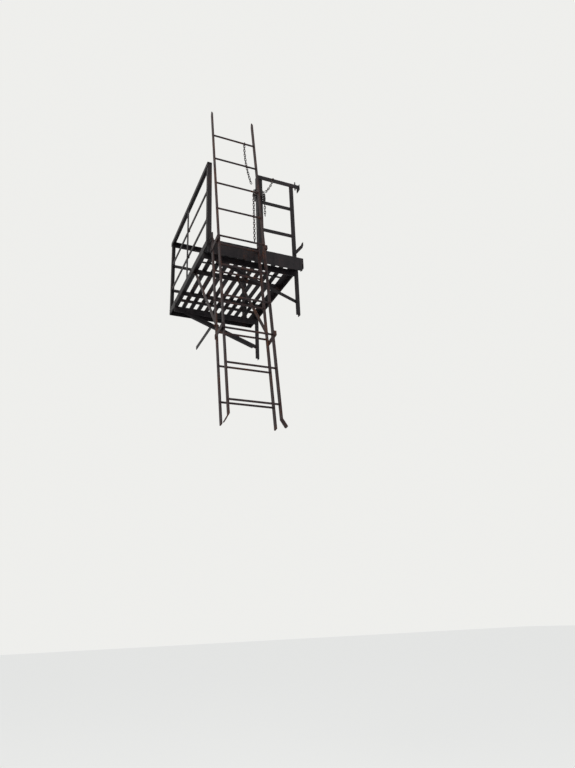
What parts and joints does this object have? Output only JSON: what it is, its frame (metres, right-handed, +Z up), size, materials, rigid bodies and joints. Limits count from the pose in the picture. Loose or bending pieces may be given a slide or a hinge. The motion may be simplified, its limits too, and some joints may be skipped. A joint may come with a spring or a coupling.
{
  "type": "fire escape stair",
  "caption": "Slatted iron fire escape balcony on two wall brackets, with guard rails, a fixed ladder and a sliding drop ladder for climbing down.",
  "frame": {"origin": "centre of the flat back of the near bracket's wall leg, on the wall's face", "axes": "+Y into the wall, so the balcony stands out towards -Y; +X along the wall towards the ladders; +Z up"},
  "size_m": [2.1335, 0.91, 3.2216],
  "materials": {
    "black_paint": "worn black paint over iron",
    "rusty_paint": "thin dark paint rusting through",
    "chain_iron": "weathered chain iron"
  },
  "bodies": {
    "balcony": {"near_wall_leg": "black_paint", "far_wall_leg": "black_paint", "near_bracket_arm": "black_paint", "far_bracket_arm": "black_paint", "near_bracket_strut": "black_paint", "far_bracket_strut": "black_paint", "outer_beam": "black_paint", "wall_beam": "black_paint", "near_end_beam": "black_paint", "far_end_beam": "black_paint", "near_cross_bar": "black_paint", "middle_cross_bar": "black_paint", "far_cross_bar": "black_paint", "floor_slats": "black_paint", "near_outer_post": "black_paint", "middle_outer_post": "black_paint", "far_outer_post": "black_paint", "ladder_side_post": "black_paint", "near_wall_post": "black_paint", "far_wall_post": "black_paint", "front_top_rail": "black_paint", "front_upper_rail": "black_paint", "front_lower_rail": "black_paint", "far_top_rail": "black_paint", "far_upper_rail": "black_paint", "far_lower_rail": "black_paint", "near_top_rail": "black_paint", "near_upper_rail": "black_paint", "near_lower_rail": "black_paint", "fixed_left_rail": "rusty_paint", "fixed_right_rail": "rusty_paint", "fixed_rungs": "rusty_paint", "ladder_cleats": "black_paint", "left_ladder_brace": "rusty_paint", "right_ladder_brace": "rusty_paint", "upper_guides": "rusty_paint", "lower_guides": "rusty_paint", "side_wall_tie": "black_paint", "post_wall_tie": "black_paint", "post_chain": "chain_iron", "hanging_chain": "chain_iron"},
    "drop_ladder": {"drop_left_rail": "rusty_paint", "drop_right_rail": "rusty_paint", "drop_rungs": "rusty_paint", "hook_chain": "chain_iron"}
  },
  "joints": [
    {"name": "drop_ladder_slide", "type": "slide", "parent": "balcony", "child": "drop_ladder", "axis": [0.1392, 0, -0.9903], "range_m": [0, 1.1]}
  ]
}
